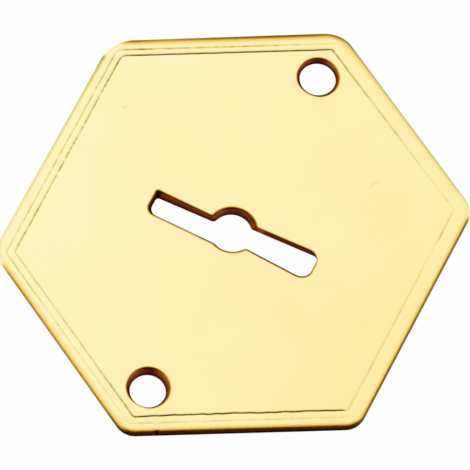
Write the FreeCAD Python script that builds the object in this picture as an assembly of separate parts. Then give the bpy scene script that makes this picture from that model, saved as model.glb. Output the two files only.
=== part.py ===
"""Keyhole escutcheon for a double-bitted key: one pressed brass plate with six sides.

Millimetres. The plate lies on its back with its face up, +Z out of the face, +Y from the
middle to one screw hole and +X along the keyhole. The origin is the middle of the back face.
"""
import FreeCAD, Part
import math
import os

# Plate
across_flats = 62.8            # between the two sides that face -X and +X
across_slants = 67.2           # between the two sides of each slanted pair
plate_thickness = 1.3
corner_radius = 3.2            # of the corners, seen from above
top_corner_radius = 3.9        # of the +Y corner
blunt_corner_radius = 6.1      # of the corner between -X and +Y, which is polished flatter
face_edge_radius = 0.8         # polished-over edge of the face
back_edge_chamfer = 0.15

# Border lines pressed into the face, all the way round
groove_inset = 2.88            # from the plate's edge to the middle of the groove
groove_width = 0.36
groove_floor_width = 0.12
groove_depth = 0.14
faint_line_inset = 1.76
faint_line_width = 0.4
faint_line_floor_width = 0.14
faint_line_depth = 0.05
line_corner_radius = 0.6
line_blunt_corner_radius = 1.3

# Screw holes: a short straight wall at the back that opens in a cone to the face
screw_corner_distance = 8.8    # from where the two slanted sides would meet to the hole's axis
screw_hole_radius = 2.78
screw_mouth_radius = 3.42
screw_wall_length = 0.4

# Keyhole, as it is at the face
round_radius = 3.82            # of the hole for the key's shank
round_x = -0.33
round_y = -0.03
left_arm_reach = 13.67         # from the middle of the plate to the arm's end
left_arm_top_step = 3.14       # from the top of the round hole down to the arm's upper edge
left_arm_bottom_step = 0.3     # from the bottom of the round hole up to the arm's lower edge
left_top_corner_radius = 0.5
left_bottom_corner_radius = 1.2
right_arm_reach = 13.52
right_arm_top_step = 1.66
right_arm_bottom_step = 1.7
right_arm_flare = 0.45         # how far each edge of the arm has spread at its end
right_corner_radius = 1.75
arm_root_radius = 0.45         # where an arm runs into the round hole

# How far the walls of the keyhole have leant inwards by the time they reach the back face
round_lean = 0.65              # the round hole and the left arm's two long walls
left_arm_root_relief = 0.4     # how much less the left arm's upper wall leans where it starts
left_arm_end_lean = 0.3
right_arm_lean = 0.08
right_arm_end_lean = 0.2

# The most of a wall that the rounding at one end of it can take
largest_share_of_wall = 0.45
# How far a screw hole's cutting solid stands out of the plate
overrun = 0.2

# Distances from the middle of the plate to its sides, and to the tip where two of them meet
flat_distance = across_flats / 2
slant_distance = across_slants / 2
tip_distance = slant_distance / math.cos(math.radians(30))


def point(x, y, z):
    return FreeCAD.Vector(x, y, z)


def arc(start, middle, end):
    return Part.Arc(start, middle, end).toShape()


def line(start, end):
    return Part.LineSegment(start, end).toShape()


def corner_arc(before, corner, after, radius):
    """Start, middle and end of the arc that rounds a corner between two straight runs."""
    to_before = (before - corner).normalize()
    to_after = (after - corner).normalize()
    half_angle = to_before.getAngle(to_after) / 2
    shorter_wall = min(before.distanceToPoint(corner), after.distanceToPoint(corner))
    run = min(radius / math.tan(half_angle), largest_share_of_wall * shorter_wall)
    radius = run * math.tan(half_angle)
    inward = (to_before + to_after).normalize()
    start = corner + to_before * run
    end = corner + to_after * run
    middle = corner + inward * (radius / math.sin(half_angle) - radius)
    return start, middle, end


def hexagon_wire(inset, radius, top_radius, blunt_radius, z):
    """The plate's outline drawn in by this much on every side, at height z."""
    flat = flat_distance - inset
    tip = tip_distance - inset / math.cos(math.radians(30))
    shoulder = tip - flat * math.tan(math.radians(30))
    corners = [
        point(0, tip, z),
        point(-flat, shoulder, z),
        point(-flat, -shoulder, z),
        point(0, -tip, z),
        point(flat, -shoulder, z),
        point(flat, shoulder, z),
    ]
    radii = [top_radius, blunt_radius, radius, radius, radius, radius]
    arcs = []
    for i in range(6):
        arcs.append(corner_arc(corners[i - 1], corners[i], corners[(i + 1) % 6], radii[i]))
    edges = []
    for i in range(6):
        edges.append(arc(*arcs[i]))
        edges.append(line(arcs[i][2], arcs[(i + 1) % 6][0]))
    return Part.Wire(edges)


def blank():
    """The plate with its edges rounded over and nothing cut in it."""
    outline = Part.Face(
        hexagon_wire(0, corner_radius, top_corner_radius, blunt_corner_radius, 0)
    )
    plate = outline.extrude(point(0, 0, plate_thickness))
    chamfer = min(back_edge_chamfer, largest_share_of_wall * plate_thickness)
    face_radius = min(face_edge_radius, plate_thickness - 2 * chamfer)
    face_edges = [e for e in plate.Edges if e.BoundBox.ZMin > plate_thickness - 0.001]
    plate = plate.makeFillet(face_radius, face_edges)
    back_edges = [e for e in plate.Edges if e.BoundBox.ZMax < 0.001]
    return plate.makeChamfer(chamfer, back_edges)


def border_line(inset, width, floor_width, depth):
    """A ring that cuts a line with sloping sides, level all round, into the face.

    It stands as far out of the face as it goes in, and its sides go on at the same slope.
    """
    spread = width - floor_width
    path = hexagon_wire(
        inset,
        line_corner_radius,
        line_corner_radius,
        line_blunt_corner_radius,
        plate_thickness - depth,
    )
    first = path.Edges[0]
    start = first.valueAt(first.FirstParameter)
    across = point(0, 0, 1).cross(first.tangentAt(first.FirstParameter)).normalize()
    floor_side = across * (floor_width / 2)
    top_side = across * (floor_width / 2 + spread) + point(0, 0, 2 * depth)
    other_top_side = across * (-floor_width / 2 - spread) + point(0, 0, 2 * depth)
    corners = [start - floor_side, start + floor_side, start + top_side, start + other_top_side]
    section = Part.makePolygon(corners + corners[:1])
    return path.makePipeShell([section], True, True)


def screw_hole(y):
    """The space of one screw hole, its axis at this distance from the middle of the plate."""
    cone_length = plate_thickness - screw_wall_length
    opening = (screw_mouth_radius - screw_hole_radius) / cone_length
    wall = Part.makeCylinder(screw_hole_radius, screw_wall_length + overrun, point(0, y, -overrun))
    cone = Part.makeCone(
        screw_hole_radius,
        screw_mouth_radius + opening * overrun,
        cone_length + overrun,
        point(0, y, screw_wall_length),
    )
    return wall.fuse(cone)


def root_arc(line_start, line_end, material_side, centre, radius):
    """Arc that eases a straight edge of an arm into the round hole.

    material_side is the unit vector from the edge into the metal. The arc runs from the
    straight edge to the round hole.
    """
    along = (line_end - line_start).normalize()
    origin = line_start + material_side * arm_root_radius
    reach = radius + arm_root_radius
    from_centre = origin - centre
    half_b = from_centre.dot(along)
    c = from_centre.dot(from_centre) - reach * reach
    arc_centre = origin + along * (-half_b - math.sqrt(half_b * half_b - c))
    on_line = arc_centre - material_side * arm_root_radius
    on_round = centre + (arc_centre - centre) * (radius / reach)
    middle = arc_centre + ((on_line + on_round) * 0.5 - arc_centre).normalize() * arm_root_radius
    return on_line, middle, on_round


def keyhole_wire(z):
    """The keyhole's outline at height z, with every wall as far in as it leans there."""
    share = (plate_thickness - z) / plate_thickness
    radius = round_radius - round_lean * share
    centre = point(round_x, round_y, z)
    left = -left_arm_reach + left_arm_end_lean * share
    right = right_arm_reach - right_arm_end_lean * share
    left_top_end = round_y + radius - left_arm_top_step
    left_top_root = left_top_end + left_arm_root_relief * share
    left_bottom = round_y - radius + left_arm_bottom_step
    right_top = round_y + round_radius - right_arm_top_step - right_arm_lean * share
    right_bottom = round_y - round_radius + right_arm_bottom_step + right_arm_lean * share

    left_low = point(left, left_bottom, z)
    left_high = point(left, left_top_end, z)
    right_low = point(right, right_bottom - right_arm_flare, z)
    right_high = point(right, right_top + right_arm_flare, z)
    left_low_root = point(round_x, left_bottom, z)
    left_high_root = point(round_x - radius, left_top_root, z)
    right_low_root = point(round_x + radius, right_bottom, z)
    right_high_root = point(round_x + radius, right_top, z)

    def above(start, end):
        return point(start.y - end.y, end.x - start.x, 0).normalize()

    # Each root arc starts on its arm's edge, and each edge is read from its end to its root
    low_left = root_arc(left_low, left_low_root, above(left_low_root, left_low), centre, radius)
    low_right = root_arc(
        right_low, right_low_root, above(right_low, right_low_root), centre, radius
    )
    high_right = root_arc(
        right_high, right_high_root, above(right_high_root, right_high), centre, radius
    )
    high_left = root_arc(
        left_high, left_high_root, above(left_high, left_high_root), centre, radius
    )

    corner_low_left = corner_arc(left_high, left_low, low_left[0], left_bottom_corner_radius)
    corner_low_right = corner_arc(low_right[0], right_low, right_high, right_corner_radius)
    corner_high_right = corner_arc(right_low, right_high, high_right[0], right_corner_radius)
    corner_high_left = corner_arc(high_left[0], left_high, left_low, left_top_corner_radius)

    return Part.Wire([
        arc(*corner_low_left),
        line(corner_low_left[2], low_left[0]),
        arc(*low_left),
        arc(low_left[2], centre - point(0, radius, 0), low_right[2]),
        arc(low_right[2], low_right[1], low_right[0]),
        line(low_right[0], corner_low_right[0]),
        arc(*corner_low_right),
        line(corner_low_right[2], corner_high_right[0]),
        arc(*corner_high_right),
        line(corner_high_right[2], high_right[0]),
        arc(*high_right),
        arc(high_right[2], centre + point(0, radius, 0), high_left[2]),
        arc(high_left[2], high_left[1], high_left[0]),
        line(high_left[0], corner_high_left[0]),
        arc(*corner_high_left),
        line(corner_high_left[2], corner_low_left[0]),
    ])


def escutcheon_plate():
    plate = blank()
    plate = plate.cut(border_line(groove_inset, groove_width, groove_floor_width, groove_depth))
    plate = plate.cut(
        border_line(faint_line_inset, faint_line_width, faint_line_floor_width, faint_line_depth)
    )
    hole_distance = tip_distance - screw_corner_distance
    for y in (hole_distance, -hole_distance):
        plate = plate.cut(screw_hole(y))
    keyhole = Part.makeLoft([keyhole_wire(0), keyhole_wire(plate_thickness)], True, True)
    return plate.cut(keyhole)


os.makedirs("parts", exist_ok=True)
plate = escutcheon_plate()
plate.exportStep("parts/escutcheon_plate.step")
print("plate", len(plate.Solids), "solid, volume", round(plate.Volume, 1), "mm3, valid", plate.isValid())
box = plate.BoundBox
print("size", round(box.XLength, 2), round(box.YLength, 2), round(box.ZLength, 2))
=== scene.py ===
import math
import bpy
import bmesh
import numpy as np
from mathutils import Matrix, Vector, noise


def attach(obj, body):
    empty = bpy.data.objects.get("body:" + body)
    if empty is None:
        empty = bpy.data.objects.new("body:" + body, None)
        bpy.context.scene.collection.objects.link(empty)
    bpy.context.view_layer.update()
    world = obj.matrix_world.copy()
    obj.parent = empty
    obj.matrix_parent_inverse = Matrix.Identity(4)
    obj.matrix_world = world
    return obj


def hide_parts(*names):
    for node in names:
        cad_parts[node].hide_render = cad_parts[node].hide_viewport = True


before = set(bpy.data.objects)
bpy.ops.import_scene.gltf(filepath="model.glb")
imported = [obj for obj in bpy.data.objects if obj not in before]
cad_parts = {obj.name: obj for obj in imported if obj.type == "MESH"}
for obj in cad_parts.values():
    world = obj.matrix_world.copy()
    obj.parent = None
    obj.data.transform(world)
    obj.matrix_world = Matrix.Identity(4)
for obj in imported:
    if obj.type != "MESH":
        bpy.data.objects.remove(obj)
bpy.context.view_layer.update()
print("frame loaded:", sorted(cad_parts))

mm = 0.001
deg30 = math.radians(30)

# Sizes are in millimetres, as in the solid model. Corners go counterclockwise from the +Y tip.
plateSize = {
    "acrossFlats": 62.799,
    "acrossSlants": 67.2,
    "thickness": 1.3,
    "cornerRadii": (4.9, 6.1, 4.0, 3.27, 3.6, 3.9),
    "edgeRadius": 0.8,
    "backChamfer": 0.15,
    "backMargin": 0.4,          # strip at the back's outline over which its tarnish evens out
    "backTarnish": 0.26,
    "edgeSteps": 12,
    "cornerSteps": 14,
    "sideCuts": 190,
    "sideBlend": 0.5,           # how softly one side gives way to the next at a corner
}
# How far each side stands out from the true hexagon at its start and end: hand finishing
edgeShifts = (
    (0.2, -0.1), (-0.03, -0.14), (-0.22, -0.16),
    (-0.02, 0.12), (-0.1, -0.18), (0.09, 0.08),
)
grooveSize = {
    "inset": 2.88,
    "halfWidth": 0.21,
    "depth": 0.14,
    "fullDepthAt": 0.4,     # value of its tarnish and painted shade at which it is pressed in to its full depth
    "cornerRadii": (0.6, 1.3, 0.6, 0.6, 0.6, 0.6),
    "innerCorner": 0.3,     # of the ring inside it, where the flat face starts
    "steps": 8,
    "shifts": (
        (-0.02, -0.1), (0.19, -0.31), (0.03, -0.08),
        (0.03, 0.09), (0.07, 0.02), (0.2, -0.17),
    ),
    "wander": (0.03, 0.04, 0.04, 0.14, 0.04, 0.04),    # how far it strays sideways on each side
    "wanderLength": 1.7,
    "breaks": (0.15, 0.4, 0.5, 0.2, 0.5, 0.4),         # how unevenly it is pressed
    "dots": (0, 0.9, 0.4, 0.2, 0.6, 0.5),              # how much it is broken up into dots
    "olive": (0.35, 1.0, 0.9, 0.25, 0.6, 0.75),        # how olive its tarnish and painted shade are, else brown
}
faintSize = {
    "inset": 1.76,
    "halfWidth": 0.22,
    "depth": 0.05,
    "fullDepthAt": 0.4,
    "cornerRadii": (0.6, 1.3, 0.6, 0.6, 0.6, 0.6),
    "steps": 4,
    "shifts": (
        (-0.17, -0.24), (0.08, -0.33), (0.13, 0.07),
        (0.13, 0.18), (0.07, 0.02), (0.2, -0.17),
    ),
    "wander": (0.03, 0.05, 0.05, 0.05, 0.02, 0.02),
    "wanderLength": 3.0,
    "breaks": (0.6, 0.8, 0.8, 1.0, 0, 0),
    "dots": (0.2, 0.6, 0.5, 0.4, 0, 0),
    "olive": (0.5, 0.9, 1.0, 0.6, 0, 0),
}
leastPressed = 0.2    # share of its strength that a line never falls under
# Unevenness along a side: waves in half a side, step from side to side and row of the noise
waves = {
    "breaks": (18, 3.1, 5.2),
    "dots": (47, 3.1, 9.4),
    "wander": (18, 7.3, 0.4),
}
screwSize = {
    "cornerDistance": 8.8,          # from where the slanted sides would meet
    "backRadii": (2.84, 2.78),
    "mouthRadii": (3.34, 3.38),
    "lipTaper": 0.5,                # how much the lip narrows for each millimetre down
    "wallLength": 0.4,              # of the straight wall at the back
    "wallShares": (0.15, 0.5, 1),   # how far down it each of its rings lies
    "segments": 128,
    "coneSteps": 6,
    "backShifts": ((-0.05, 0.06), (0.05, -0.21)),    # how far off centre each hole is at the back
}
keyholeSize = {
    "roundRadius": 3.82,
    "roundCentre": (-0.33, -0.03),
    "leftReach": 13.67,
    "leftTopStep": 3.14,
    "leftBottomStep": 0.36,
    "leftTopCorner": 0.5,
    "leftBottomCorner": 1.2,
    "rightReach": 13.52,
    "rightTopStep": 1.66,
    "rightBottomStep": 1.86,
    "rightFlare": 0.45,
    "rightCorner": 1.75,
    "rightCornerTaper": 0.9,        # how much tighter the right arm's upper corner is at the back
    "rootRadius": 0.45,
    "rootSpread": 0.3,              # how much wider the left arm's upper root is at the back
    "roundLean": 0.65,
    "roundShift": (0.02, -0.07),    # the round hole and the left arm are off centre at the back
    "leftRootRelief": 0.4,
    "leftEndLean": 0.47,
    "rightLean": 0.14,
    "rightEndLean": 0.05,
    "wallSteps": 6,
    "arcSteps": (10, 6, 40, 8, 12, 12, 8, 40, 6, 8),
    "edgeCuts": 24,
}
# The soft lip where a hole meets the face, the band beside it darkened with painted shade and where the
# face is clean
lipSize = {"radius": 0.1, "steps": 4, "band": 0.24, "clear": 0.42}
# From the middle of the plate to the middle of each screw hole
screwMiddle = plateSize["acrossSlants"] / 2 / math.cos(deg30) - screwSize["cornerDistance"]

# Painted shade and painted glints on the holes' walls, by the way each one faces, in degrees: painted shade
# on the face beside the lip, at its top and at its foot, then the wall's tone of oxide at each of these
# depths, darker further down as painted shade and lighter where a painted glint falls
wallDepths = (0.1, 0.5, 0.9, 1.3)
wallShadeAndGlintTones = {
    "screw": (
        (-60, (0.25, 0.85, 0.95, 0.7, 0.85, 0.95, 1.0)),
        (-30, (0.12, 0.62, 0.9, 0.65, 0.8, 0.95, 1.0)),
        (0, (0.06, 0.34, 0.6, 0.36, 0.6, 0.85, 1.0)),
        (20, (0.04, 0.24, 0.42, 0.22, 0.5, 0.9, 1.0)),
        (45, (0.02, 0.14, 0.25, 0.08, 0.36, 0.9, 1.0)),
        (65, (0.03, 0.16, 0.35, 0.14, 0.28, 0.78, 1.0)),
        (85, (0.02, 0.22, 0.62, 0.45, 0.42, 0.76, 1.0)),
        (105, (0.02, 0.27, 0.88, 0.85, 0.74, 0.8, 0.95)),
        (122, (0.02, 0.3, 0.9, 0.92, 0.7, 0.8, 0.95)),
        (142, (0.02, 0.22, 0.72, 0.5, 0.5, 0.82, 0.95)),
        (162, (0.02, 0.16, 0.55, 0.25, 0.36, 0.8, 0.95)),
        (182, (0.02, 0.13, 0.5, 0.3, 0.5, 0.8, 0.97)),
        (205, (0.03, 0.32, 0.8, 0.6, 0.8, 0.9, 0.97)),
        (230, (0.03, 0.4, 0.9, 0.8, 0.9, 0.97, 1.0)),
        (265, (0.06, 0.4, 0.6, 0.6, 0.8, 0.9, 1.0)),
        (285, (0.12, 0.5, 0.7, 0.6, 0.8, 0.9, 1.0)),
    ),
    "leftEnd": (
        (-90, (0.4, 0.66, 0.76, 0.6, 0.8, 0.9, 1.0)),
        (90, (0.04, 0.45, 0.95, 0.95, 0.84, 0.88, 1.0)),
        (125, (0.04, 0.5, 0.97, 1.0, 0.95, 0.95, 1.0)),
        (150, (0.04, 0.45, 0.92, 0.9, 0.9, 0.95, 1.0)),
        (180, (0.02, 0.24, 0.5, 0.4, 0.7, 0.95, 1.0)),
        (215, (0.02, 0.25, 0.5, 0.3, 0.7, 0.95, 1.0)),
        (237, (0.05, 0.4, 0.6, 0.4, 0.7, 0.95, 1.0)),
    ),
    "leftArm": (
        (-90, (0.4, 0.66, 0.76, 0.6, 0.8, 0.9, 1.0)),
        (90, (0.02, 0.32, 0.85, 0.76, 0.46, 0.7, 1.0)),
        (150, (0.03, 0.4, 0.85, 0.8, 0.8, 0.9, 1.0)),
    ),
    "round": (
        (-90, (0.5, 0.78, 0.84, 0.6, 0.8, 0.9, 1.0)),
        (20, (0.2, 0.5, 0.6, 0.3, 0.14, 0.25, 0.5)),
        (40, (0.15, 0.5, 0.75, 0.55, 0.28, 0.34, 0.7)),
        (55, (0.1, 0.5, 0.75, 0.66, 0.64, 0.45, 0.8)),
        (75, (0.06, 0.45, 0.78, 0.6, 0.54, 0.72, 0.97)),
        (100, (0.02, 0.34, 0.85, 0.76, 0.52, 0.72, 1.0)),
        (125, (0.02, 0.34, 0.88, 0.88, 0.62, 0.7, 1.0)),
        (145, (0.02, 0.28, 0.75, 0.58, 0.3, 0.6, 1.0)),
        (170, (0.05, 0.42, 0.85, 0.76, 0.48, 0.6, 0.97)),
    ),
    "rightRoot": (
        (-90, (0.6, 0.84, 0.88, 0.6, 0.8, 0.9, 1.0)),
        (20, (0.25, 0.5, 0.55, 0.3, 0.2, 0.3, 0.5)),
        (60, (0.15, 0.45, 0.6, 0.36, 0.3, 0.36, 0.55)),
        (95, (0.08, 0.42, 0.65, 0.46, 0.42, 0.42, 0.6)),
    ),
    "rightArm": (
        (-90, (0.72, 0.92, 0.94, 0.6, 0.8, 0.9, 1.0)),
        (-20, (0.5, 0.84, 0.9, 0.6, 0.8, 0.9, 1.0)),
        (5, (0.15, 0.6, 0.9, 0.7, 0.8, 0.9, 1.0)),
        (35, (0.06, 0.45, 0.85, 0.78, 0.8, 0.85, 1.0)),
        (93, (0.03, 0.34, 0.85, 0.68, 0.64, 0.66, 0.8)),
        (150, (0.3, 0.5, 0.6, 0.3, 0.2, 0.4, 0.6)),
    ),
}
keyholePlaces = ("leftEnd", "leftArm", "round", "rightRoot", "rightArm")
placeStarts = (-12.7, -4.2, 2.95, 4.1)    # x where each of them after the first begins

# Tarnish and painted shade on the six sides, counterclockwise from the one between +Y and -X, at each of
# these turns of the rounded edge, in degrees down from the face. Much of it is painted shade and painted
# dark reflection, which is why it differs so much from side to side
edgeTurns = (0, 10, 25, 40, 52, 65, 90, 110)
belowTurns = (110, 110, 100)    # turns for the back's outline, the top of its chamfer and the side wall
edgeTarnishAndShade = (
    (0.38, 0.54, 0.67, 0.63, 0.55, 0.46, 0.45, 0.45),
    (0.03, 0.06, 0.11, 0.22, 0.24, 0.22, 0.22, 0.3),
    (0.04, 0.06, 0.10, 0.17, 0.31, 0.53, 0.56, 0.42),
    (0.14, 0.21, 0.45, 0.93, 0.95, 0.97, 1.00, 0.95),
    (0.05, 0.08, 0.16, 0.42, 0.66, 0.68, 0.56, 0.45),
    (0.13, 0.17, 0.28, 0.42, 0.42, 0.38, 0.40, 0.42),
)
# Share of it along each side, from -1 at its start to 1 at its end: near some corners it all but goes, so
# they stay bright
edgeAlong = (
    ((-1, 0.9), (-0.95, 0.9), (-0.85, 0.95), (-0.75, 1.08), (-0.45, 1.12), (-0.15, 1.04), (0.15, 1.0),
     (0.3, 0.9), (0.55, 0.82), (0.7, 0.88), (0.8, 1.0), (0.88, 0.7), (0.94, 0.05), (1, 0.03)),
    ((-1, 0.03), (-0.87, 0.05), (-0.84, 2.8), (-0.76, 2.0), (-0.6, 1.5), (-0.4, 1.2),
     (0, 0.95), (0.8, 0.6), (1, 0.2)),
    ((-1, 0.05), (-0.885, 0.05), (-0.825, 0.7), (-0.745, 1.0), (0.4, 1.02),
     (0.7, 1.1), (0.85, 1.25), (1, 1.5)),
    ((-1, 1.0), (1, 1.0)),
    ((-1, 1.06), (-0.6, 1.04), (0.3, 0.98), (0.9, 1.0), (0.925, 0.8), (0.945, 0.1), (1, 0.03)),
    ((-1, 0.05), (-0.92, 0.45), (-0.75, 0.8), (-0.2, 0.95), (0.05, 0.95), (0.3, 1.05),
     (0.5, 1.15), (0.65, 1.28), (0.75, 1.42), (0.85, 1.75), (1, 2.0)),
)
edgeOlive = (0, 1.0, 0, 0, 0, 0.9)             # how olive the tarnish and painted shade are where the edge turns down
oliveTurn = 30                                 # degrees after which it is fully so
edgeFade = (0.2, 0.22, 0.3, 0.22, 0.3, 0.5)    # share of the tarnish and painted shade left halfway to the faint line
nick = {
    "place": (4.35, -35.9),
    "side": 3,
    "halfWidth": 0.5,
    "depth": 0.08,
    "steepness": 1.7,
    "reach": 1.5,           # how far from its place it is looked for
    "turns": (28, 75),      # painted dark as shade from the first of these turns of the edge on, cut in up to the last
}
# Tarnish and painted shade along the lines on each side, which also set how deep they are pressed
tarnishAndShade = {
    "groove": (
        ((-1, 0.97), (0, 0.92), (0.7, 0.92), (1, 0.8)),
        ((-1, 0.5), (-0.8, 0.44), (-0.5, 0.36), (1, 0.36)),
        ((-1, 0.24), (0, 0.29), (0.45, 0.3), (0.6, 0.42), (0.8, 0.5), (1, 0.55)),
        ((-1, 0.97), (0, 1.0), (0.86, 1.05), (0.89, 0.3), (1, 0.1)),
        ((-1, 0.2), (-0.8, 0.24), (-0.15, 0.24), (0.3, 0.19), (0.45, 0.1), (0.6, 0.1),
         (0.66, 0.27), (0.96, 0.28), (1, 0.02)),
        ((-1, 0.0), (-0.83, 0.02), (-0.8, 0.2), (-0.75, 0.18), (-0.72, 0.03), (-0.66, 0.12), (-0.5, 0.13),
         (-0.3, 0.19), (0, 0.28), (0.3, 0.33), (0.5, 0.37), (0.65, 0.45), (1, 0.52)),
    ),
    "faint": (
        ((-1, 0.2), (-0.67, 0.3), (-0.3, 0.42), (0.4, 0.44), (0.55, 0.5), (0.66, 0.62),
         (0.9, 0.6), (1, 0.5)),
        ((-1, 0.36), (0, 0.3), (1, 0.22)),
        ((-1, 0.38), (0, 0.22), (1, 0.12)),
        ((-1, 0.26), (0, 0.22), (0.85, 0.26), (1, 0)),
        ((-1, 0), (1, 0)),
        ((-1, 0), (-0.8, 0.06), (0.9, 0.07), (1, 0)),
    ),
}

# Colours as the eye reads them, red, green and blue out of 255
brassColour = {
    "warm": (254, 236, 168),
    "light": (254, 243, 192),
    "scuff": (226, 206, 150),
    "spot": (214, 150, 62),
}
# Marks on the face: place, turn in degrees, half length, half width, strength
scuffs = (
    ((-24.3, 11.0), 80, 0.6, 0.3, 0.65),
    ((15.6, 17.4), 67, 1.5, 0.5, 0.42),
    ((23.0, -17.2), 20, 0.6, 0.12, 0.35),
    ((3.9, -34.7), 30, 0.7, 0.16, 0.8),
)
spots = (((26.07, 22.78), 60, 0.2, 0.15, 1.0),)
# Olive tarnish and painted shade, from none to the darkest, for the lines and the edges that turn olive
lineColours = (
    (0.0, (250, 240, 174)),
    (0.2, (236, 227, 148)),
    (0.4, (212, 203, 118)),
    (0.6, (176, 158, 68)),
    (0.8, (126, 102, 30)),
    (1.0, (70, 48, 6)),
)
# Brown tarnish and painted shade, from none to the darkest
tarnishAndShadeColours = (
    (0.0, (253, 238, 176)),
    (0.1, (254, 231, 148)),
    (0.2, (252, 220, 125)),
    (0.3, (245, 206, 103)),
    (0.4, (228, 186, 84)),
    (0.5, (200, 158, 61)),
    (0.6, (169, 127, 42)),
    (0.7, (137, 96, 27)),
    (0.8, (103, 64, 12)),
    (0.9, (75, 37, 5)),
    (1.0, (54, 22, 12)),
)
# Wall colours from a painted glint through oxide to the darkest painted shade
wallOxideShadeAndGlintColours = (
    (0.0, (228, 154, 62)),
    (0.2, (186, 104, 36)),
    (0.4, (150, 72, 28)),
    (0.6, (114, 46, 18)),
    (0.8, (78, 20, 4)),
    (1.0, (32, 5, 3)),
)


def linear(colour):
    # From a screen's values to the amount of light
    parts = []
    for part in colour:
        c = part / 255
        parts.append(c / 12.92 if c <= 0.04045 else ((c + 0.055) / 1.055) ** 2.4)
    return (*parts, 1.0)


def smoothStep(x):
    x = min(max(x, 0.0), 1.0)
    return x * x * (3 - 2 * x)


# Outlines: a list of arcs, each a start point, a centre and an angle, joined by straight runs

def turnAngle(a, b):
    return math.atan2(a.x * b.y - a.y * b.x, a.dot(b))


def roundedCorner(before, corner, after, radius):
    toBefore = (before - corner).normalized()
    toAfter = (after - corner).normalized()
    half = toBefore.angle(toAfter) / 2
    start = corner + toBefore * (radius / math.tan(half))
    end = corner + toAfter * (radius / math.tan(half))
    centre = corner + (toBefore + toAfter).normalized() * (radius / math.sin(half))
    return start, centre, turnAngle(start - centre, end - centre)


sideNormals = []
for facing in (120, 180, 240, 300, 0, 60):
    sideNormals.append(Vector((math.cos(math.radians(facing)), math.sin(math.radians(facing)))))
sideReach = [plateSize["acrossSlants"] / 2, plateSize["acrossFlats"] / 2, plateSize["acrossSlants"] / 2] * 2


def crossing(a, b, c, d):
    # Where the line through a and b meets the one through c and d
    return a + (b - a) * ((c - a).cross(d - c) / (b - a).cross(d - c))


def hexagonCorners(inset, shifts=None):
    flat = plateSize["acrossFlats"] / 2 - inset
    tip = (plateSize["acrossSlants"] / 2 - inset) / math.cos(deg30)
    shoulder = tip - flat * math.tan(deg30)
    corners = [(0, tip), (-flat, shoulder), (-flat, -shoulder)]
    corners += [(-x, -y) for x, y in corners]
    corners = [Vector(c) for c in corners]
    if not shifts:
        return corners
    sides = []
    for i, (normal, (first, last)) in enumerate(zip(sideNormals, shifts)):
        sides.append((corners[i] + normal * first, corners[(i + 1) % 6] + normal * last))
    return [crossing(*sides[i - 1], *sides[i]) for i in range(6)]


def hexagonArcs(inset, radii, shifts):
    c = hexagonCorners(inset, shifts)
    return [roundedCorner(c[i - 1], c[i], c[(i + 1) % 6], radii[i]) for i in range(6)]


def rootArc(lineEnd, lineRoot, metalSide, centre, radius, rootRadius):
    # Eases a straight edge of an arm into the round hole: gives the point on the edge,
    # the arc's own centre and the point on the round hole
    along = (lineRoot - lineEnd).normalized()
    origin = lineEnd + metalSide * rootRadius
    reach = radius + rootRadius
    offset = origin - centre
    halfB = offset.dot(along)
    arcCentre = origin + along * (-halfB - math.sqrt(halfB * halfB - offset.dot(offset) + reach * reach))
    return arcCentre - metalSide * rootRadius, arcCentre, centre + (arcCentre - centre) * (radius / reach)


def keyholeArcs(share, grow):
    # share is how far down the wall it is, grow how far outside the wall, for the lip
    k = keyholeSize
    middle = k["roundCentre"][1]
    centre = Vector(k["roundCentre"]) + Vector(k["roundShift"]) * share
    radius = k["roundRadius"] - k["roundLean"] * share
    left = -k["leftReach"] + k["leftEndLean"] * share - grow
    right = k["rightReach"] - k["rightEndLean"] * share + grow
    leftTopEnd = centre.y + radius - k["leftTopStep"]
    leftTopRoot = leftTopEnd + k["leftRootRelief"] * share + grow
    leftTopEnd += grow
    leftBottom = centre.y - radius + k["leftBottomStep"] - grow
    rightTop = middle + k["roundRadius"] - k["rightTopStep"] - k["rightLean"] * share + grow
    rightBottom = middle - k["roundRadius"] + k["rightBottomStep"] + k["rightLean"] * share - grow
    radius += grow
    root = k["rootRadius"] - grow

    leftLow, leftHigh = Vector((left, leftBottom)), Vector((left, leftTopEnd))
    rightLow = Vector((right, rightBottom - k["rightFlare"]))
    rightHigh = Vector((right, rightTop + k["rightFlare"]))
    roots = {
        "lowLeft": (leftLow, Vector((centre.x, leftBottom))),
        "lowRight": (rightLow, Vector((centre.x + radius, rightBottom))),
        "highRight": (rightHigh, Vector((centre.x + radius, rightTop))),
        "highLeft": (leftHigh, Vector((centre.x - radius, leftTopRoot))),
    }
    eased = {}
    for name, (end, start) in roots.items():
        along = (start - end).normalized()
        metal = Vector((-along.y, along.x))
        if (metal.y > 0) != name.startswith("high"):
            metal = -metal
        spread = k["rootSpread"] * share if name == "highLeft" else 0
        eased[name] = rootArc(end, start, metal, centre, radius, root + spread)

    def inOrder(onLine, arcCentre, onRound, towardsRound):
        start, end = (onLine, onRound) if towardsRound else (onRound, onLine)
        return start, arcCentre, turnAngle(start - arcCentre, end - arcCentre)

    highCorner = k["rightCorner"] - k["rightCornerTaper"] * share + grow
    lowLeft, lowRight = eased["lowLeft"], eased["lowRight"]
    highRight, highLeft = eased["highRight"], eased["highLeft"]
    return [
        roundedCorner(leftHigh, leftLow, lowLeft[0], k["leftBottomCorner"] + grow),
        inOrder(*lowLeft, True),
        (lowLeft[2], centre, turnAngle(lowLeft[2] - centre, lowRight[2] - centre)),
        inOrder(*lowRight, False),
        roundedCorner(lowRight[0], rightLow, rightHigh, k["rightCorner"] + grow),
        roundedCorner(rightLow, rightHigh, highRight[0], highCorner),
        inOrder(*highRight, True),
        (highRight[2], centre, turnAngle(highRight[2] - centre, highLeft[2] - centre)),
        inOrder(*highLeft, False),
        roundedCorner(highLeft[0], leftHigh, leftLow, k["leftTopCorner"] + grow),
    ]


# Where a point lies along the six sides

outerCorners = hexagonCorners(0)


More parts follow.
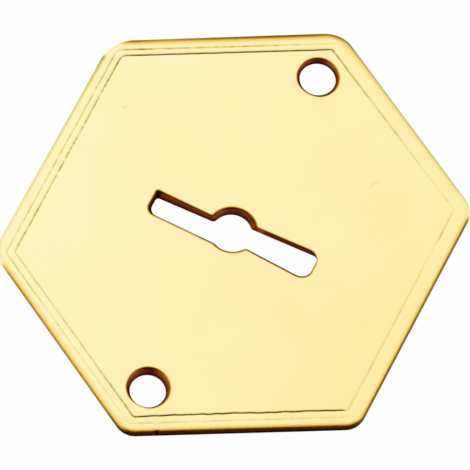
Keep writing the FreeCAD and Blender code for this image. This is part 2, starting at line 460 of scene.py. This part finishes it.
def sidesAt(x, y):
    # For each side: how much the point belongs to it, and how far along it lies, from -1 to 1
    p = Vector((x, y))
    found = []
    for i, (normal, reach) in enumerate(zip(sideNormals, sideReach)):
        start, end = outerCorners[i], outerCorners[(i + 1) % 6]
        along = (p - (start + end) / 2).dot((end - start).normalized()) / ((end - start).length / 2)
        found.append((math.exp((p.dot(normal) - reach) / plateSize["sideBlend"]), min(max(along, -1), 1)))
    total = sum(w for w, _ in found)
    return [(w / total, along) for w, along in found]


def fromTable(table, x, y):
    value = 0
    for (weight, along), points in zip(sidesAt(x, y), table):
        value += weight * float(np.interp(along, *zip(*points)))
    return value


def blended(values, x, y):
    # One value for each side, blended at the corners
    return sum(weight * value for (weight, _), value in zip(sidesAt(x, y), values))


def sideNoise(kind, side, along, stretch=1):
    count, step, row = waves[kind]
    return noise.noise(Vector((along * count / stretch, step * side, row)))


def pressed(size, x, y):
    # How strongly a line is pressed in here, about 1
    strength = 1
    for side, (weight, along) in enumerate(sidesAt(x, y)):
        for kind in ("breaks", "dots"):
            strength += weight * size[kind][side] * sideNoise(kind, side, along)
    return max(strength, leastPressed)


def strayed(size, x, y):
    shift = Vector((0, 0))
    for side, (weight, along) in enumerate(sidesAt(x, y)):
        drift = sideNoise("wander", side, along, size["wanderLength"])
        shift += sideNormals[side] * (weight * size["wander"][side] * drift)
    return shift


# Rings: closed rows of vertices, drawn one inside the other and bridged

shortestRun = 0.001       # a straight run under this is left as it is
weldDistance = 0.0005


def walkRing(first):
    ring = [first]
    edge = first.link_edges[0]
    vert = edge.other_vert(first)
    while vert != first:
        ring.append(vert)
        edge = next(e for e in vert.link_edges if e != edge)
        vert = edge.other_vert(vert)
    return ring


def drawRing(bm, arcs, z, steps, cuts):
    # A ring is drawn by itself, which is much quicker than in the growing plate, then added
    sketch = bmesh.new()
    ends = []
    for (start, centre, angle), count in zip(arcs, steps):
        first = sketch.verts.new((start.x, start.y, z))
        middle = (centre.x, centre.y, z)
        spun = bmesh.ops.spin(sketch, geom=[first], cent=middle, axis=(0, 0, 1), angle=angle, steps=count)
        ends.append((first, spun["geom_last"][0]))
    runs = [sketch.edges.new((last, ends[(i + 1) % len(ends)][0])) for i, (_, last) in enumerate(ends)]
    bmesh.ops.subdivide_edges(sketch, edges=[e for e in runs if e.calc_length() > shortestRun], cuts=cuts)
    bmesh.ops.remove_doubles(sketch, verts=sketch.verts, dist=weldDistance)
    mesh = bpy.data.meshes.new("sketch")
    sketch.to_mesh(mesh)
    sketch.free()
    count = len(bm.verts)
    bm.from_mesh(mesh)
    bpy.data.meshes.remove(mesh)
    bm.verts.ensure_lookup_table()
    return walkRing(bm.verts[count])


def drawHexagon(bm, inset, radii, z, shifts=edgeShifts):
    steps = [plateSize["cornerSteps"]] * 6
    return drawRing(bm, hexagonArcs(inset, radii, shifts), z, steps, plateSize["sideCuts"])


def drawCircle(bm, x, y, radius, z):
    place = Matrix.Translation((x, y, z))
    made = bmesh.ops.create_circle(bm, segments=screwSize["segments"], radius=radius, matrix=place)
    return walkRing(made["verts"][0])


def ringEdges(bm, ring):
    return [bm.edges.get(pair) for pair in zip(ring, ring[1:] + ring[:1])]


def bridge(bm, rings):
    # Two rings at one height can be joined crosswise, so one is lifted for the moment
    for a, b in zip(rings, rings[1:]):
        edges = ringEdges(bm, a) + ringEdges(bm, b)
        bmesh.ops.translate(bm, vec=(0, 0, 1), verts=b)
        bmesh.ops.bridge_loops(bm, edges=edges)
        bmesh.ops.translate(bm, vec=(0, 0, -1), verts=b)


def pressedLine(bm, layers, size, table):
    # Rings across one border line, from its outer lip to its inner one
    rings = []
    for i in range(size["steps"] + 1):
        across = size["halfWidth"] * (2 * i / size["steps"] - 1)
        share = 0.5 + 0.5 * math.cos(math.pi * across / size["halfWidth"])
        radii = [r - across for r in size["cornerRadii"]]
        ring = drawHexagon(bm, size["inset"] + across, radii, plateSize["thickness"], size["shifts"])
        for v in ring:
            x, y, _ = v.co
            strength = fromTable(table, x, y) * pressed(size, x, y)
            v.co.z -= size["depth"] * share * min(strength / size["fullDepthAt"], 1)
            v.co.xy += strayed(size, x, y)
            # How dark the line is here: tarnish and painted shade
            v[layers["tarnishAndShade"]] = strength * share
            v[layers["line"]] = blended(size["olive"], x, y)
        rings.append(ring)
    return rings


# Walls of the holes, and how dark they are

def facings(ring):
    # Which way is out of the ring at each of its vertices, in degrees
    area = sum(a.co.x * b.co.y - b.co.x * a.co.y for a, b in zip(ring, ring[1:] + ring[:1]))
    found = []
    for before, after in zip(ring[-1:] + ring[:-1], ring[1:] + ring[:1]):
        along = (after.co - before.co) * (1 if area > 0 else -1)
        found.append(math.degrees(math.atan2(-along.x, along.y)))
    return found


def tonesAt(rows, facing):
    angles = [angle for angle, _ in rows]
    columns = zip(*(row for _, row in rows))
    return [float(np.interp(facing, angles, column, period=360)) for column in columns]


# Border: from the back over the rounded edge and the two lines to the flat face

def backRing(bm, layers):
    # Just inside the back's outline
    inset = plateSize["backChamfer"] + plateSize["backMargin"]
    ring = drawHexagon(bm, inset, [r - inset for r in plateSize["cornerRadii"]], 0)
    for v in ring:
        v[layers["tarnishAndShade"]] = plateSize["backTarnish"]
    return ring


def paintEdgeTarnishAndShade(ring, turn, layers):
    # Tarnish and painted shade, set by side, by turn of the edge and along each side
    dark = [float(np.interp(turn, edgeTurns, side)) for side in edgeTarnishAndShade]
    for v in ring:
        x, y, _ = v.co
        v[layers["tarnishAndShade"]] = min(blended(dark, x, y) * fromTable(edgeAlong, x, y), 1)
        v[layers["line"]] = blended(edgeOlive, x, y) * smoothStep(turn / oliveTurn)


def cutNick(ring, turn, layers):
    # The nick's hollow takes the walls' darkest tone as painted shade
    first, last = nick["turns"]
    if turn <= first:
        return
    inwards = -sideNormals[nick["side"]]
    run = Vector((-inwards.y, inwards.x))
    for v in ring:
        off = v.co.xy - Vector(nick["place"])
        if off.length < nick["reach"]:
            notch = smoothStep(nick["steepness"] * (1 - abs(off.dot(run)) / nick["halfWidth"]))
            v[layers["wall"]] = notch
            v[layers["shadeAndGlintTone"]] = 1
            if turn < last:
                v.co.xy += inwards * (nick["depth"] * notch)


def edgeRings(bm, layers):
    # From the back's outline up the side wall and over the rounded edge to the face
    top, edge = plateSize["thickness"], plateSize["edgeRadius"]
    chamfer = plateSize["backChamfer"]
    levels = [(chamfer, 0), (0, chamfer), (0, (top - edge + chamfer) / 2)]
    turns = list(belowTurns)
    for i in range(plateSize["edgeSteps"] + 1):
        turn = 90 * (1 - i / plateSize["edgeSteps"])
        inset = edge * (1 - math.sin(math.radians(turn)))
        levels.append((inset, top - edge * (1 - math.cos(math.radians(turn)))))
        turns.append(turn)
    rings = []
    for (inset, z), turn in zip(levels, turns):
        ring = drawHexagon(bm, inset, [r - inset for r in plateSize["cornerRadii"]], z)
        paintEdgeTarnishAndShade(ring, turn, layers)
        cutNick(ring, turn, layers)
        rings.append(ring)
    return rings


def halfwayRing(bm, layers):
    # Halfway from the edge to the faint line, where a share of the edge's tarnish and painted shade is left
    edge, half = plateSize["edgeRadius"], faintSize["halfWidth"]
    corners = zip(plateSize["cornerRadii"], faintSize["cornerRadii"])
    radii = [(outer - edge + inner + half) / 2 for outer, inner in corners]
    shifts = [((a + c) / 2, (b + d) / 2) for (a, b), (c, d) in zip(edgeShifts, faintSize["shifts"])]
    inset = (edge + faintSize["inset"] - half) / 2
    ring = drawHexagon(bm, inset, radii, plateSize["thickness"], shifts)
    left = [side[0] * fade for side, fade in zip(edgeTarnishAndShade, edgeFade)]
    for v in ring:
        x, y, _ = v.co
        v[layers["tarnishAndShade"]] = blended(left, x, y) * fromTable(edgeAlong, x, y)
    return ring


# Holes: each is a stack of rings from the clean face over its lip to the back. With each ring goes
# how far down the lip it lies, from 0 to 1, and 1 for the wall too, or one of these marks
onFace = -1
besideLip = -0.5
onBack = 2


def lipSteps():
    # For each ring: how far out from the wall it lies, how far down, and its mark
    lip, count = lipSize["radius"], lipSize["steps"]
    steps = [(lipSize["clear"], 0, onFace), (lipSize["band"], 0, besideLip)]
    for i in range(count + 1):
        turn = math.pi / 2 * i / count
        steps.append((lip * (1 - math.sin(turn)), lip * (1 - math.cos(turn)), i / count))
    return steps


def screwHoleRings(bm, middle, mouth, backRadius, backShift):
    top, lip, wall = plateSize["thickness"], lipSize["radius"], screwSize["wallLength"]
    taper = screwSize["lipTaper"]
    dx, dy = backShift
    rings = []
    for grow, drop, share in lipSteps():
        rings.append((drawCircle(bm, 0, middle, mouth + grow - drop * taper, top - drop), share))
    coneTop = mouth - lip * taper
    for i in range(1, screwSize["coneSteps"] + 1):
        share = i / screwSize["coneSteps"]
        z = top - lip + (wall - (top - lip)) * share
        radius = coneTop + (backRadius - coneTop) * share
        rings.append((drawCircle(bm, dx * share, middle + dy * share, radius, z), 1))
    for share in screwSize["wallShares"]:
        rings.append((drawCircle(bm, dx, middle + dy, backRadius, wall * (1 - share)), 1))
    rings.append((drawCircle(bm, dx, middle + dy, backRadius + lip, 0), onBack))
    return rings


def keyholeRings(bm):
    top, lip = plateSize["thickness"], lipSize["radius"]
    steps, cuts = keyholeSize["arcSteps"], keyholeSize["edgeCuts"]
    rings = []
    for grow, drop, share in lipSteps():
        rings.append((drawRing(bm, keyholeArcs(drop / top, grow), top - drop, steps, cuts), share))
    for i in range(1, keyholeSize["wallSteps"] + 1):
        z = (top - lip) * (1 - i / keyholeSize["wallSteps"])
        rings.append((drawRing(bm, keyholeArcs((top - z) / top, 0), z, steps, cuts), 1))
    rings.append((drawRing(bm, keyholeArcs(1, lip), 0, steps, cuts), onBack))
    return rings


def wallPlace(x, y):
    if abs(y) > screwMiddle / 2:
        return "screw"
    return keyholePlaces[sum(x > start for start in placeStarts)]


def paintHole(rings, layers):
    for ring, share in rings:
        if share == onFace:
            continue
        for v, facing in zip(ring, facings(ring)):
            if share == onBack:
                v[layers["tarnishAndShade"]] = plateSize["backTarnish"]
                continue
            rows = wallShadeAndGlintTones[wallPlace(v.co.x, v.co.y)]
            # Painted shade beside and down the lip, and the wall's tone of oxide, painted shade and glints
            beside, lipTop, lipFoot, *tones = tonesAt(rows, facing)
            onLip = lipTop + (lipFoot - lipTop) * share
            v[layers["tarnishAndShade"]] = beside if share == besideLip else onLip
            v[layers["wall"]] = smoothStep(share * 2 - 1)
            v[layers["shadeAndGlintTone"]] = float(np.interp(plateSize["thickness"] - v.co.z, wallDepths, tones))


def fillFlat(bm, rings):
    # The flat face or back, between its border and the holes
    edges = [edge for ring in rings for edge in ringEdges(bm, ring)]
    bmesh.ops.triangle_fill(bm, edges=edges, use_beauty=True, normal=(0, 0, 1))


def shadeFaces(bm):
    # The back and the fill of the face are flat, and all the rest is shaded smooth
    level = 0.99999
    for face in bm.faces:
        inBorder = len(face.verts) == 4 and face.normal.z > 0
        face.smooth = abs(face.normal.z) < level or inBorder


def makePlate():
    bm = bmesh.new()
    # What the material reads: how tarnished or painted with shade, how much of a line's olive, how much of
    # a wall, and its tone of oxide, painted shade and glints
    layers = {name: bm.verts.layers.float.new(name) for name in ("tarnishAndShade", "line", "wall", "shadeAndGlintTone")}
    back = backRing(bm, layers)
    border = edgeRings(bm, layers)
    border.append(halfwayRing(bm, layers))
    border += pressedLine(bm, layers, faintSize, tarnishAndShade["faint"])
    border += pressedLine(bm, layers, grooveSize, tarnishAndShade["groove"])
    # Inside the groove a ring runs straight again, for the flat face
    inset = grooveSize["inset"] + 2 * grooveSize["halfWidth"]
    radii = [grooveSize["innerCorner"]] * 6
    inner = drawHexagon(bm, inset, radii, plateSize["thickness"], grooveSize["shifts"])
    bridge(bm, [back] + border + [inner])

    holes = []
    sizes = zip(screwSize["mouthRadii"], screwSize["backRadii"], screwSize["backShifts"])
    for middle, (mouth, backRadius, backShift) in zip((screwMiddle, -screwMiddle), sizes):
        holes.append(screwHoleRings(bm, middle, mouth, backRadius, backShift))
    holes.append(keyholeRings(bm))
    for rings in holes:
        paintHole(rings, layers)
        bridge(bm, [ring for ring, _ in rings])
    fillFlat(bm, [inner] + [rings[0][0] for rings in holes])
    fillFlat(bm, [back] + [rings[-1][0] for rings in holes])
    bmesh.ops.recalc_face_normals(bm, faces=bm.faces)
    shadeFaces(bm)
    bmesh.ops.scale(bm, vec=(mm, mm, mm), verts=bm.verts)
    mesh = bpy.data.meshes.new("plate")
    bm.to_mesh(mesh)
    openEdges = sum(not e.is_manifold for e in bm.edges)
    volume = round(bm.calc_volume() / mm ** 3, 1)
    print("plate:", len(bm.verts), "vertices,", openEdges, "open edges,", volume, "mm3")
    bm.free()
    piece = bpy.data.objects.new("plate", mesh)
    bpy.context.scene.collection.objects.link(piece)
    return piece


# Materials

class Nodes:
    def __init__(self, material):
        self.tree = material.node_tree
        self.tree.nodes.clear()

    def add(self, kind, links=None, **values):
        made = self.tree.nodes.new(kind)
        for name, value in values.items():
            setattr(made, name, value)
        for socket, value in (links or {}).items():
            if isinstance(value, bpy.types.NodeSocket):
                self.tree.links.new(value, made.inputs[socket])
            else:
                made.inputs[socket].default_value = value
        return made

    def maths(self, operation, a, b, clamp=False):
        made = self.add("ShaderNodeMath", {0: a, 1: b}, operation=operation, use_clamp=clamp)
        return made.outputs[0]

    def mix(self, factor, a, b):
        return self.add("ShaderNodeMix", {0: factor, 6: a, 7: b}, data_type="RGBA").outputs[2]

    def ramp(self, factor, stops):
        made = self.add("ShaderNodeValToRGB", {0: factor})
        elements = made.color_ramp.elements
        while len(elements) < len(stops):
            elements.new(0.5)
        for element, (position, colour) in zip(elements, stops):
            element.position = position
            element.color = linear(colour)
        return made.outputs[0]

    def attribute(self, name):
        return self.add("ShaderNodeAttribute", attribute_name=name).outputs["Fac"]

    def noise(self, place, scale, detail, roughness):
        values = {"Vector": place, "Scale": scale, "Detail": detail, "Roughness": roughness}
        return self.add("ShaderNodeTexNoise", values).outputs["Fac"]

    def stray(self, value, most):
        # Turns a noise about 0.5 into a change about 0
        return self.maths("MULTIPLY", self.maths("SUBTRACT", value, 0.5), most)

    def slope(self, value, rise, start):
        # The start where the value is 0, and a rise more where it is 1
        values = {0: value, 1: rise, 2: start}
        return self.add("ShaderNodeMath", values, operation="MULTIPLY_ADD").outputs[0]


# Each noise has its scale, in waves in a metre, its detail and its roughness
brassFinish = {
    "clouds": (55, 2, 0.5),
    "grain": (1600, 4, 0.6),
    "rims": (3000, 2, 0.5),
    "blotches": (220, 6, 0.65),
    "waves": (240, 2, 0.5),
    "streaks": (1.0, 3, 0.5),           # in a space that is pressed together like this:
    "streakScale": (350, 350, 4200),
    "warmth": 0.5,                      # in the middle, from light to warm
    "warmerPerMetre": 14.0,             # towards +X
    "cloudiness": 0.9,
    "raggedness": 0.8,                  # of the rims of scuffs and spots
    "backReach": 0.1 * mm,              # height at which the blotches of the back have gone
    "blotchiness": 0.5,
    "grainInTarnish": 0.25,
    "grainInWalls": 0.15,
    "streakiness": 0.45,
    "tarnishAndShadeCover": 6.0,                # the field shows through tarnish and painted shade under one part in this many
    "roughness": 0.24,
    "tarnishRoughness": 0.2,
    "cloudRoughness": 0.12,
    "grainInBumps": 0.3,
    "bumpStrength": 0.12,
    "bumpHeight": 0.02 * mm,
    "shine": 0.5,                       # of the face, the walls have none
    "whiteTint": (1, 1, 1, 1),
    "dullTint": (0.1, 0.06, 0.04, 1),
}


def faceField(n, place, cloud):
    # Paler towards -X and warmer towards +X, with soft clouds, scuffs and a spot
    x = n.add("ShaderNodeSeparateXYZ", {0: place}).outputs[0]
    warm = n.slope(x, brassFinish["warmerPerMetre"], brassFinish["warmth"])
    warm = n.maths("ADD", warm, n.stray(cloud, brassFinish["cloudiness"]), True)
    field = n.mix(warm, linear(brassColour["light"]), linear(brassColour["warm"]))
    for colourName, marks in (("scuff", scuffs), ("spot", spots)):
        for (x, y), turn, length, width, strength in marks:
            spread = {
                "Vector": place,
                "Location": (x * mm, y * mm, 0),
                "Rotation": (0, 0, math.radians(turn)),
                "Scale": (length * mm, width * mm, 1),
            }
            put = n.add("ShaderNodeMapping", spread, vector_type="TEXTURE").outputs[0]
            away = n.add("ShaderNodeVectorMath", {0: put}, operation="LENGTH").outputs["Value"]
            rim = n.stray(n.noise(place, *brassFinish["rims"]), brassFinish["raggedness"])
            near = n.maths("SUBTRACT", 1.0, n.maths("ADD", away, rim), True)
            field = n.mix(n.maths("MULTIPLY", near, strength), field, linear(brassColour[colourName]))
    return field


def tarnishAndShadeAmount(n, place, grain):
    # Tarnish and painted shade, as set on the vertices
    even = n.attribute("tarnishAndShade")
    # The back was never polished, so it is blotched
    z = n.add("ShaderNodeSeparateXYZ", {0: place}).outputs[2]
    behind = n.maths("SUBTRACT", 1.0, n.maths("MULTIPLY", z, 1 / brassFinish["backReach"]), True)
    blotches = n.stray(n.noise(place, *brassFinish["blotches"]), brassFinish["blotchiness"])
    blotched = n.maths("ADD", even, n.maths("MULTIPLY", behind, blotches))
    grainy = n.maths("MULTIPLY", even, n.stray(grain, brassFinish["grainInTarnish"]))
    return n.maths("ADD", blotched, grainy, True)


def wallOxideShadeAndGlints(n, place, grain):
    # Dark oxide with painted shade, darker deeper down, and painted glints, broken into fine streaks along
    # the walls
    drawn = n.add("ShaderNodeMapping", {"Vector": place, "Scale": brassFinish["streakScale"]}).outputs[0]
    streaks = n.stray(n.noise(drawn, *brassFinish["streaks"]), brassFinish["streakiness"])
    uneven = n.maths("ADD", streaks, n.stray(grain, brassFinish["grainInWalls"]))
    return n.ramp(n.maths("ADD", n.attribute("shadeAndGlintTone"), uneven, True), wallOxideShadeAndGlintColours)


def brassMaterial():
    material = bpy.data.materials.new("polished brass")
    material.use_nodes = True
    n = Nodes(material)
    place = n.add("ShaderNodeTexCoord").outputs["Object"]
    wall = n.attribute("wall")
    cloud = n.noise(place, *brassFinish["clouds"])
    grain = n.noise(place, *brassFinish["grain"])

    amount = tarnishAndShadeAmount(n, place, grain)
    # The dark colour of tarnish and painted shade, olive or brown
    dark = n.mix(n.attribute("line"), n.ramp(amount, tarnishAndShadeColours), n.ramp(amount, lineColours))
    cover = n.maths("MULTIPLY", amount, brassFinish["tarnishAndShadeCover"], True)
    colour = n.mix(cover, faceField(n, place, cloud), dark)
    colour = n.mix(wall, colour, wallOxideShadeAndGlints(n, place, grain))

    rough = n.slope(amount, brassFinish["tarnishRoughness"], brassFinish["roughness"])
    rough = n.maths("ADD", rough, n.stray(cloud, brassFinish["cloudRoughness"]))
    bump = n.add("ShaderNodeBump", {
        "Height": n.slope(grain, brassFinish["grainInBumps"], n.noise(place, *brassFinish["waves"])),
        "Strength": brassFinish["bumpStrength"],
        "Distance": brassFinish["bumpHeight"],
    })
    # The walls are dull with old oxide, and tarnish and painted shade dull the grazing shine
    dullness = n.maths("MAXIMUM", amount, wall)
    shine = brassFinish["shine"]
    shader = n.add("ShaderNodeBsdfPrincipled", {
        "Base Color": colour,
        "Roughness": rough,
        "Normal": bump.outputs[0],
        "Metallic": n.maths("SUBTRACT", 1.0, wall),
        "Specular IOR Level": n.slope(wall, -shine, shine),
        "Specular Tint": n.mix(dullness, brassFinish["whiteTint"], brassFinish["dullTint"]),
    })
    n.add("ShaderNodeOutputMaterial", {"Surface": shader.outputs[0]})
    return material


plate = makePlate()
plate.data.materials.append(brassMaterial())
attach(plate, "root")
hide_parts("escutcheon_plate")
print("plate made")


# Floor, light and camera

studio = {
    "floorReach": 4.0,
    "floorGap": 0.02 * mm,     # keeps the floor and the plate's back from flickering through each other
    "floorColour": (0.92, 0.92, 0.92, 1),
    "floorShow": 0.95,         # share of the floor's white that its shadows leave
    "white": (1, 1, 1, 1),
    "worldStrength": 0.93,
    "lampPlace": (-0.35, 0.5, 0.9),
    "lampSize": 0.7,
    "lampPower": 0.12,
}
# The photograph's camera, with its angles in degrees and its distances in metres
view = {
    "lookAt": (0.264 * mm, -0.102 * mm, 0),
    "distance": 1.0747,
    "azimuth": 286.26,      # counterclockwise from +X
    "elevation": 64.026,
    "roll": 10.71,
    "sensor": 36,
    "lens": 534.4,
    "nearest": 0.05,
    "farthest": 50,
}


def floorMaterial():
    # White to the camera and to what mirrors it, less its shadows
    material = bpy.data.materials.new("pale floor")
    material.use_nodes = True
    n = Nodes(material)
    rays = n.add("ShaderNodeLightPath").outputs
    mirrored = n.maths("MAXIMUM", rays["Is Glossy Ray"], rays["Is Transmission Ray"])
    seen = n.maths("MAXIMUM", rays["Is Camera Ray"], mirrored)
    matt = n.add("ShaderNodeBsdfDiffuse", {"Color": studio["floorColour"]})
    white = n.add("ShaderNodeEmission", {"Color": studio["white"], "Strength": 1.0})
    share = n.maths("MULTIPLY", seen, studio["floorShow"])
    both = n.add("ShaderNodeMixShader", {0: share, 1: matt.outputs[0], 2: white.outputs[0]})
    n.add("ShaderNodeOutputMaterial", {"Surface": both.outputs[0]})
    return material


def makeFloor():
    bm = bmesh.new()
    bmesh.ops.create_grid(bm, x_segments=8, y_segments=8, size=studio["floorReach"])
    bmesh.ops.translate(bm, vec=(0, 0, -studio["floorGap"]), verts=bm.verts)
    mesh = bpy.data.meshes.new("floor")
    bm.to_mesh(mesh)
    bm.free()
    mesh.materials.append(floorMaterial())
    made = bpy.data.objects.new("floor", mesh)
    bpy.context.scene.collection.objects.link(made)
    return made


def lightStudio():
    world = bpy.data.worlds.new("studio")
    world.use_nodes = True
    background = world.node_tree.nodes["Background"]
    background.inputs["Color"].default_value = studio["white"]
    background.inputs["Strength"].default_value = studio["worldStrength"]
    bpy.context.scene.world = world
    lamp = bpy.data.objects.new("soft lamp", bpy.data.lights.new("soft lamp", "AREA"))
    lamp.data.size = studio["lampSize"]
    lamp.data.energy = studio["lampPower"]
    lamp.location = studio["lampPlace"]
    lamp.rotation_euler = (-Vector(studio["lampPlace"])).to_track_quat("-Z", "Y").to_euler()
    bpy.context.scene.collection.objects.link(lamp)


def placeCamera():
    camera = bpy.data.objects.new("camera", bpy.data.cameras.new("camera"))
    camera.data.sensor_width = view["sensor"]
    camera.data.lens = view["lens"]
    camera.data.clip_start = view["nearest"]
    camera.data.clip_end = view["farthest"]
    turned = Matrix.Rotation(math.radians(view["azimuth"] + 90), 4, "Z")
    turned @= Matrix.Rotation(math.radians(90 - view["elevation"]), 4, "X")
    turned @= Matrix.Rotation(math.radians(view["roll"]), 4, "Z")
    back = Matrix.Translation((0, 0, view["distance"]))
    camera.matrix_world = Matrix.Translation(view["lookAt"]) @ turned @ back
    bpy.context.scene.collection.objects.link(camera)
    bpy.context.scene.camera = camera


floor = makeFloor()
lightStudio()
placeCamera()
bpy.context.scene.view_settings.view_transform = "Standard"
print("studio ready")
